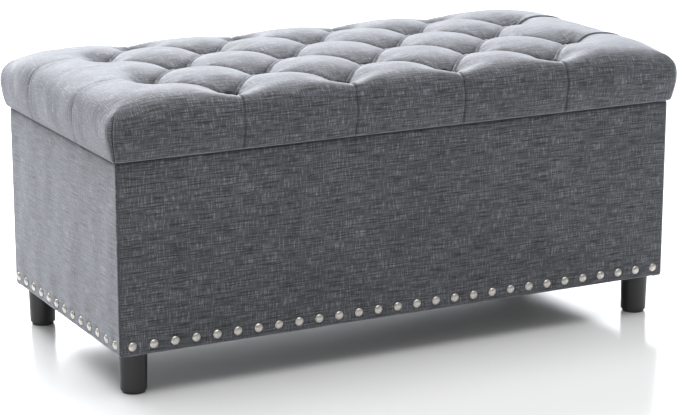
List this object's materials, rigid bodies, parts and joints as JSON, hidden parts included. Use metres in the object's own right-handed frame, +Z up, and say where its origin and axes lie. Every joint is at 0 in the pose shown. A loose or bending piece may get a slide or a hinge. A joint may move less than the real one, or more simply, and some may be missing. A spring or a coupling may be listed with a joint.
{
  "type": "tufted storage bench",
  "caption": "Upholstered storage bench: fabric-covered box on short round legs with nailhead trim and a hinged, button-tufted lid that forms the seat.",
  "frame": {"origin": "on the floor, at the centre of the bench's footprint", "axes": "+X along the bench's length to its right end, -Y to its front, +Z up; the hinges are at the back, on +Y"},
  "size_m": [0.901, 0.436, 0.415],
  "materials": {
    "plywood": "matte",
    "softwood": "matte",
    "wadding": "matte",
    "foam": "matte",
    "linen": "matte",
    "lining": "matte",
    "dust_cloth": "matte",
    "nail_nickel": "satin",
    "black_wood": "satin",
    "zinc_steel": "satin",
    "felt": "matte",
    "rubber_pad": "matte",
    "twine": "matte"
  },
  "bodies": {
    "box": {"front_panel": "plywood", "back_panel": "plywood", "left_end_panel": "plywood", "right_end_panel": "plywood", "bottom_board": "plywood", "long_base_rails": "softwood", "end_base_rails": "softwood", "cross_rail": "softwood", "leg_blocks": "softwood", "corner_posts": "softwood", "body_wadding": "wadding", "front_cover": "linen", "back_cover": "linen", "left_end_cover": "linen", "right_end_cover": "linen", "wall_lining": "lining", "floor_lining": "lining", "bottom_dust_cover": "dust_cloth", "front_nailheads": "nail_nickel", "back_nailheads": "nail_nickel", "left_nailheads": "nail_nickel", "right_nailheads": "nail_nickel", "front_left_leg": "black_wood", "front_right_leg": "black_wood", "back_left_leg": "black_wood", "back_right_leg": "black_wood", "leg_bolts": "zinc_steel", "t_nuts": "zinc_steel", "leg_glides": "felt", "rim_bumpers": "rubber_pad", "panel_screws": "zinc_steel", "dust_cover_staples": "zinc_steel", "left_hinge_body_leaf": "zinc_steel", "right_hinge_body_leaf": "zinc_steel", "hinge_pins": "zinc_steel", "hinge_body_screws": "zinc_steel", "left_stay_wall_bracket": "zinc_steel", "right_stay_wall_bracket": "zinc_steel", "wall_pivot_rivets": "zinc_steel", "wall_bracket_screws": "zinc_steel"},
    "lid": {"lid_board": "plywood", "lid_foam": "foam", "lid_cover": "linen", "tuft_buttons": "linen", "tuft_cords": "twine", "cord_anchors": "zinc_steel", "lid_lining": "dust_cloth", "left_hinge_lid_leaf": "zinc_steel", "right_hinge_lid_leaf": "zinc_steel", "hinge_lid_screws": "zinc_steel", "left_stay_lid_bracket": "zinc_steel", "right_stay_lid_bracket": "zinc_steel", "lid_pivot_rivets": "zinc_steel", "lid_bracket_screws": "zinc_steel"},
    "left_lower_arm": {"left_stay_lower_arm": "zinc_steel", "left_elbow_rivet": "zinc_steel"},
    "left_upper_arm": {"left_stay_upper_arm": "zinc_steel"},
    "right_lower_arm": {"right_stay_lower_arm": "zinc_steel", "right_elbow_rivet": "zinc_steel"},
    "right_upper_arm": {"right_stay_upper_arm": "zinc_steel"}
  },
  "joints": [
    {"name": "lid_hinge", "type": "hinge", "parent": "box", "child": "lid", "pos_m": [0, 0.209, 0.323], "axis": [-1, 0, 0], "range_deg": [0, 100]},
    {"name": "left_stay_wall_pivot", "type": "hinge", "parent": "box", "child": "left_lower_arm", "pos_m": [-0.41655, 0.124, 0.1378], "axis": [-1, 0, 0], "range_deg": [0, 100]},
    {"name": "left_stay_elbow", "type": "hinge", "parent": "left_lower_arm", "child": "left_upper_arm", "pos_m": [-0.41505, -0.016, 0.1278], "axis": [-1, 0, 0], "range_deg": [-100, 0]},
    {"name": "right_stay_wall_pivot", "type": "hinge", "parent": "box", "child": "right_lower_arm", "pos_m": [0.41655, 0.124, 0.1378], "axis": [-1, 0, 0], "range_deg": [0, 100]},
    {"name": "right_stay_elbow", "type": "hinge", "parent": "right_lower_arm", "child": "right_upper_arm", "pos_m": [0.41505, -0.016, 0.1278], "axis": [-1, 0, 0], "range_deg": [-100, 0]}
  ],
  "couplings": [
    {"joint": "left_stay_wall_pivot", "follows": "lid_hinge", "ratio": 1},
    {"joint": "left_stay_elbow", "follows": "lid_hinge", "ratio": -1},
    {"joint": "right_stay_wall_pivot", "follows": "lid_hinge", "ratio": 1},
    {"joint": "right_stay_elbow", "follows": "lid_hinge", "ratio": -1}
  ]
}
